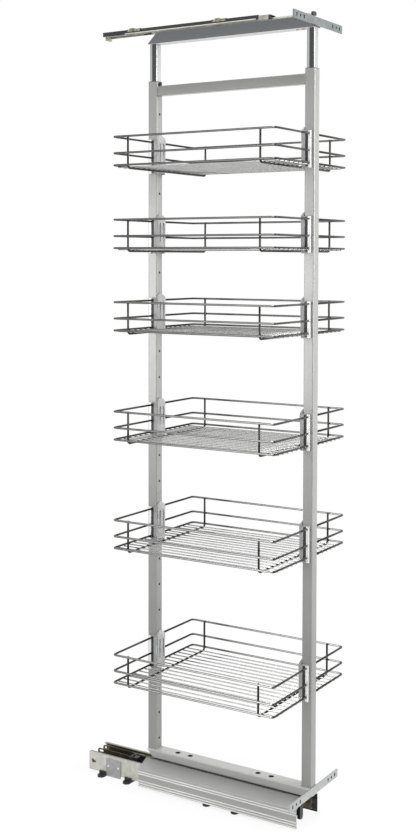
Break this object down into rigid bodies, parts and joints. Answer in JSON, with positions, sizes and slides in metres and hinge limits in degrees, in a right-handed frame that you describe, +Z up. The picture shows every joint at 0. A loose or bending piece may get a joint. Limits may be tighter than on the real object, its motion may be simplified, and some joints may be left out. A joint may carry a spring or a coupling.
{
  "type": "pull out larder unit",
  "caption": "Tall narrow pull-out frame on a telescopic floor runner and top slide, carrying wire baskets on lift-off clips, with slotted brackets for a door.",
  "frame": {"origin": "on the cabinet floor, at the middle of the floor channel's outer screw pattern", "axes": "+X width, to the right seen from the door side; -Y towards the door; +Z up"},
  "size_m": [0.35, 0.6195, 1.8605],
  "materials": {
    "zinc": "zinc plated, satin",
    "zinc_grey": "zinc plated, satin",
    "paint": "silver grey powder coat",
    "alu": "satin anodised",
    "post_alu": "bright anodised",
    "top_paint": "grey powder coat",
    "chrome": "polished",
    "screw": "zinc plated",
    "brass": "pressed",
    "black": "matt",
    "clip_grey": "satin",
    "bush": "matt"
  },
  "bodies": {
    "floor_runner": {"floor_channel": "zinc", "floor_clips": "black", "channel_side_plates": "zinc_grey", "channel_rivets": "screw", "fixed_rail_left": "zinc", "fixed_rail_right": "zinc", "damper_bracket": "zinc", "damper_cylinder": "black"},
    "soft_close_slider": {"damper_rod": "screw", "latch_slider": "black"},
    "outer_cages": {"outer_ball_cages": "brass"},
    "middle_runner": {"middle_rail_left": "zinc", "middle_rail_right": "zinc"},
    "inner_cages": {"inner_ball_cages": "brass"},
    "frame": {"frame_rail_left": "alu", "frame_rail_right": "alu", "carriage_plate": "zinc", "damper_catch": "black", "rail_front_buffer": "black", "carriage_screws": "screw", "left_cover": "alu", "right_cover": "alu", "cover_screws": "screw", "bottom_tube": "paint", "front_upright": "paint", "rear_upright": "paint", "cross_bar": "paint", "basket_pegs": "screw", "post_bushes": "bush", "clamp_screws": "black", "bottom_door_bracket": "zinc_grey", "bottom_bracket_screws": "screw"},
    "top_section": {"front_post": "post_alu", "rear_post": "post_alu", "top_bar": "top_paint", "top_door_bracket": "zinc_grey", "top_bracket_screws": "screw", "top_moving_rail": "zinc", "top_rail_end_cap": "black"},
    "top_inner_cages": {"top_inner_ball_cages": "brass"},
    "top_middle": {"top_middle_rail": "zinc", "top_middle_ends": "black"},
    "top_outer_cages": {"top_outer_ball_cages": "brass"},
    "top_fixed": {"top_fixed_rail": "zinc", "top_rail_cap": "black", "top_rail_bumper": "black", "ceiling_clips": "zinc"},
    "basket_1": {"basket_1": "chrome", "basket_1_clips": "clip_grey"},
    "basket_2": {"basket_2": "chrome", "basket_2_clips": "clip_grey"},
    "basket_3": {"basket_3": "chrome", "basket_3_clips": "clip_grey"},
    "basket_4": {"basket_4": "chrome", "basket_4_clips": "clip_grey"},
    "basket_5": {"basket_5": "chrome", "basket_5_clips": "clip_grey"},
    "basket_6": {"basket_6": "chrome", "basket_6_clips": "clip_grey"}
  },
  "joints": [
    {"name": "pull_out", "type": "slide", "parent": "floor_runner", "child": "frame", "axis": [0, -1, 0], "range_m": [-0.116, 0.314]},
    {"name": "middle_slide", "type": "slide", "parent": "floor_runner", "child": "middle_runner", "axis": [0, -1, 0], "range_m": [-0.058, 0.157]},
    {"name": "outer_cage_slide", "type": "slide", "parent": "floor_runner", "child": "outer_cages", "axis": [0, -1, 0], "range_m": [-0.029, 0.0785]},
    {"name": "inner_cage_slide", "type": "slide", "parent": "floor_runner", "child": "inner_cages", "axis": [0, -1, 0], "range_m": [-0.087, 0.2355]},
    {"name": "soft_close_slide", "type": "slide", "parent": "floor_runner", "child": "soft_close_slider", "axis": [0, 1, 0], "range_m": [0, 0.045]},
    {"name": "height_adjust", "type": "slide", "parent": "frame", "child": "top_section", "axis": [0, 0, 1], "range_m": [-0.08, 0.1]},
    {"name": "top_fixed_slide", "type": "slide", "parent": "top_section", "child": "top_fixed", "axis": [0, 1, 0], "range_m": [-0.116, 0.314]},
    {"name": "top_middle_slide", "type": "slide", "parent": "top_section", "child": "top_middle", "axis": [0, 1, 0], "range_m": [-0.058, 0.157]},
    {"name": "top_outer_cage_slide", "type": "slide", "parent": "top_section", "child": "top_outer_cages", "axis": [0, 1, 0], "range_m": [-0.087, 0.2355]},
    {"name": "top_inner_cage_slide", "type": "slide", "parent": "top_section", "child": "top_inner_cages", "axis": [0, 1, 0], "range_m": [-0.029, 0.0785]},
    {"name": "basket_1_lift", "type": "slide", "parent": "frame", "child": "basket_1", "axis": [0, 0, 1], "range_m": [0, 0.085]},
    {"name": "basket_2_lift", "type": "slide", "parent": "frame", "child": "basket_2", "axis": [0, 0, 1], "range_m": [0, 0.085]},
    {"name": "basket_3_lift", "type": "slide", "parent": "frame", "child": "basket_3", "axis": [0, 0, 1], "range_m": [0, 0.085]},
    {"name": "basket_4_lift", "type": "slide", "parent": "frame", "child": "basket_4", "axis": [0, 0, 1], "range_m": [0, 0.085]},
    {"name": "basket_5_lift", "type": "slide", "parent": "frame", "child": "basket_5", "axis": [0, 0, 1], "range_m": [0, 0.085]},
    {"name": "basket_6_lift", "type": "slide", "parent": "frame", "child": "basket_6", "axis": [0, 0, 1], "range_m": [0, 0.085]}
  ],
  "couplings": [
    {"joint": "middle_slide", "follows": "pull_out", "ratio": 0.5},
    {"joint": "outer_cage_slide", "follows": "pull_out", "ratio": 0.25},
    {"joint": "inner_cage_slide", "follows": "pull_out", "ratio": 0.75},
    {"joint": "top_fixed_slide", "follows": "pull_out", "ratio": 1},
    {"joint": "top_middle_slide", "follows": "pull_out", "ratio": 0.5},
    {"joint": "top_outer_cage_slide", "follows": "pull_out", "ratio": 0.75},
    {"joint": "top_inner_cage_slide", "follows": "pull_out", "ratio": 0.25}
  ]
}
